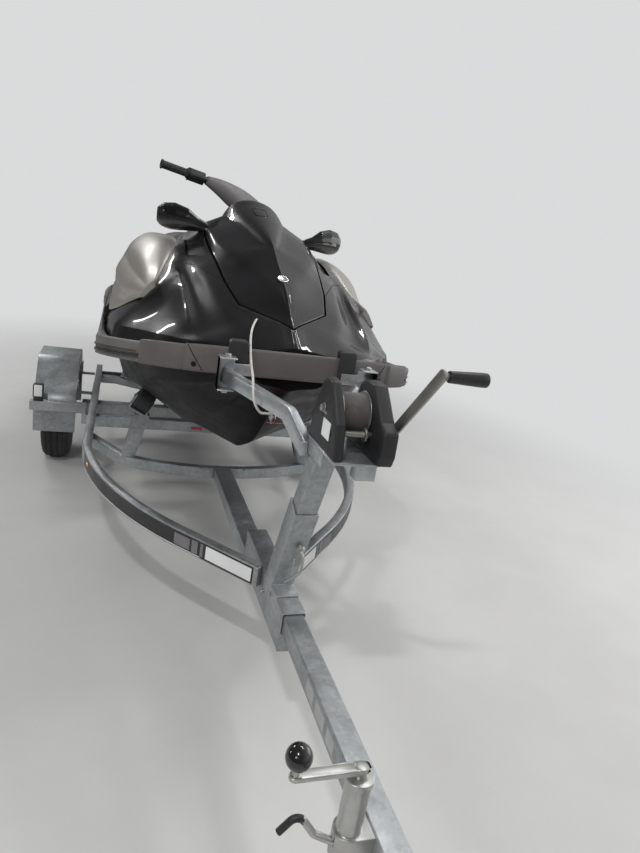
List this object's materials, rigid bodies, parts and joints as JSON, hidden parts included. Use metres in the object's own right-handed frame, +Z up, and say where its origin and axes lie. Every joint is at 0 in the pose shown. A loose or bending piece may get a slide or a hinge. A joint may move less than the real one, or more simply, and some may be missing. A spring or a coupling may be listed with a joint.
{
  "type": "personal watercraft on a boat trailer",
  "caption": "Sit-down personal watercraft on a single-axle boat trailer with a winch post, bow support arms and a jockey wheel.",
  "frame": {"origin": "on the floor, midway between the coupling's nose and the stern bumper", "axes": "+X to the craft's port side, +Y to the stern, +Z up"},
  "size_m": [1.85, 4.75, 1.7143],
  "materials": {
    "hull": "polished gelcoat",
    "deck": "polished gelcoat",
    "bumper_rail": "satin",
    "bow_bumper": "satin",
    "bumper_corners": "satin",
    "instrument_pod": "satin",
    "steering_shaft": "satin",
    "seat_front": "soft vinyl",
    "seat_rear": "soft vinyl",
    "side_bolsters": "metallic gelcoat",
    "footwell_mats": "matte",
    "rear_handle": "satin",
    "sponsons": "satin",
    "ride_plate": "cast, satin",
    "jet_pump": "cast, satin",
    "tow_eyes": "polished",
    "mooring_cord": "braided line",
    "drawbar": "hot-dip galvanised, mottled",
    "main_beam": "hot-dip galvanised, mottled",
    "side_members": "hot-dip galvanised, mottled",
    "cross_members": "hot-dip galvanised, mottled",
    "axle": "hot-dip galvanised, mottled",
    "fenders": "hot-dip galvanised, mottled",
    "lamps": "clear and red lenses",
    "post_sleeve": "hot-dip galvanised, mottled",
    "winch_post": "hot-dip galvanised, mottled",
    "winch_base": "hot-dip galvanised, mottled",
    "winch_covers": "dark grey",
    "winch_strap": "woven webbing",
    "bow_support": "hot-dip galvanised, mottled",
    "bow_pads": "matte",
    "coupling": "hot-dip galvanised, mottled",
    "jockey_post": "hot-dip galvanised, mottled",
    "jockey_crank": "zinc and black knob",
    "roller_brackets": "hot-dip galvanised, mottled",
    "support_rollers": "matte",
    "hood": "polished gelcoat",
    "hood_latch": "satin",
    "mirrors": "polished gelcoat",
    "steering_cover": "satin",
    "handlebar": "satin black",
    "handle_grips": "matte",
    "steering_nozzle": "cast",
    "reverse_bucket": "cast",
    "impeller": "machined",
    "wheel_left": "silver",
    "tyre_left": "matte",
    "wheel_right": "silver",
    "tyre_right": "matte",
    "jockey_leg": "hot-dip galvanised, mottled",
    "jockey_fork": "hot-dip galvanised, mottled",
    "jockey_wheel": "matte",
    "winch_crank": "zinc",
    "crank_handle": "satin",
    "winch_drum": "zinc"
  },
  "bodies": {
    "craft_and_trailer": {"hull": "hull", "deck": "deck", "bumper_rail": "bumper_rail", "bow_bumper": "bow_bumper", "bumper_corners": "bumper_corners", "instrument_pod": "instrument_pod", "steering_shaft": "steering_shaft", "seat_front": "seat_front", "seat_rear": "seat_rear", "side_bolsters": "side_bolsters", "footwell_mats": "footwell_mats", "rear_handle": "rear_handle", "sponsons": "sponsons", "ride_plate": "ride_plate", "jet_pump": "jet_pump", "tow_eyes": "tow_eyes", "mooring_cord": "mooring_cord", "drawbar": "drawbar", "main_beam": "main_beam", "side_members": "side_members", "cross_members": "cross_members", "axle": "axle", "fenders": "fenders", "lamps": "lamps", "post_sleeve": "post_sleeve", "winch_post": "winch_post", "winch_base": "winch_base", "winch_covers": "winch_covers", "winch_strap": "winch_strap", "bow_support": "bow_support", "bow_pads": "bow_pads", "coupling": "coupling", "jockey_post": "jockey_post", "jockey_crank": "jockey_crank", "roller_brackets": "roller_brackets", "support_rollers": "support_rollers"},
    "hood": {"hood": "hood", "hood_latch": "hood_latch", "mirrors": "mirrors"},
    "steering": {"steering_cover": "steering_cover", "handlebar": "handlebar", "handle_grips": "handle_grips"},
    "jet_nozzle": {"steering_nozzle": "steering_nozzle"},
    "reverse_bucket": {"reverse_bucket": "reverse_bucket"},
    "impeller": {"impeller": "impeller"},
    "wheel_left": {"wheel_left": "wheel_left", "tyre_left": "tyre_left"},
    "wheel_right": {"wheel_right": "wheel_right", "tyre_right": "tyre_right"},
    "jockey_leg": {"jockey_leg": "jockey_leg"},
    "jockey_fork": {"jockey_fork": "jockey_fork"},
    "jockey_wheel": {"jockey_wheel": "jockey_wheel"},
    "winch_crank": {"winch_crank": "winch_crank", "crank_handle": "crank_handle"},
    "winch_drum": {"winch_drum": "winch_drum"}
  },
  "joints": [
    {"name": "hood_hinge", "type": "hinge", "parent": "craft_and_trailer", "child": "hood", "pos_m": [0, -0.766, 1.202], "axis": [1, 0, 0], "range_deg": [0, 55]},
    {"name": "steering_turn", "type": "hinge", "parent": "craft_and_trailer", "child": "steering", "pos_m": [0, 0.415, 1.62], "axis": [0, 0.6428, 0.766], "range_deg": [-58, 2]},
    {"name": "nozzle_turn", "type": "hinge", "parent": "craft_and_trailer", "child": "jet_nozzle", "pos_m": [0, 2.262, 0.65], "axis": [0, 0, 1], "range_deg": [-1.6, 43]},
    {"name": "bucket_swing", "type": "hinge", "parent": "craft_and_trailer", "child": "reverse_bucket", "pos_m": [0, 2.292, 0.68], "axis": [1, 0, 0], "range_deg": [-75, 0]},
    {"name": "impeller_spin", "type": "hinge", "parent": "craft_and_trailer", "child": "impeller", "pos_m": [0, 2.05, 0.65], "axis": [0, 1, 0], "continuous": true},
    {"name": "wheel_left_spin", "type": "hinge", "parent": "craft_and_trailer", "child": "wheel_left", "pos_m": [0.808, 1.24, 0.289], "axis": [1, 0, 0], "continuous": true},
    {"name": "wheel_right_spin", "type": "hinge", "parent": "craft_and_trailer", "child": "wheel_right", "pos_m": [-0.808, 1.24, 0.289], "axis": [1, 0, 0], "continuous": true},
    {"name": "jockey_lift", "type": "slide", "parent": "craft_and_trailer", "child": "jockey_leg", "axis": [0, 0, 1], "range_m": [0, 0.1]},
    {"name": "jockey_swivel", "type": "hinge", "parent": "jockey_leg", "child": "jockey_fork", "pos_m": [-0.072, -1.85, 0.26], "axis": [0, 0, 1], "continuous": true},
    {"name": "jockey_spin", "type": "hinge", "parent": "jockey_fork", "child": "jockey_wheel", "pos_m": [-0.072, -1.82, 0.1], "axis": [1, 0, 0], "continuous": true},
    {"name": "crank_turn", "type": "hinge", "parent": "craft_and_trailer", "child": "winch_crank", "pos_m": [0.1, -1.317, 1.04], "axis": [1, 0, 0], "continuous": true},
    {"name": "drum_turn", "type": "hinge", "parent": "craft_and_trailer", "child": "winch_drum", "pos_m": [0.024, -1.259, 1.078], "axis": [1, 0, 0], "continuous": true}
  ],
  "couplings": [
    {"joint": "nozzle_turn", "follows": "steering_turn", "ratio": -0.7333},
    {"joint": "drum_turn", "follows": "crank_turn", "ratio": -0.25}
  ]
}
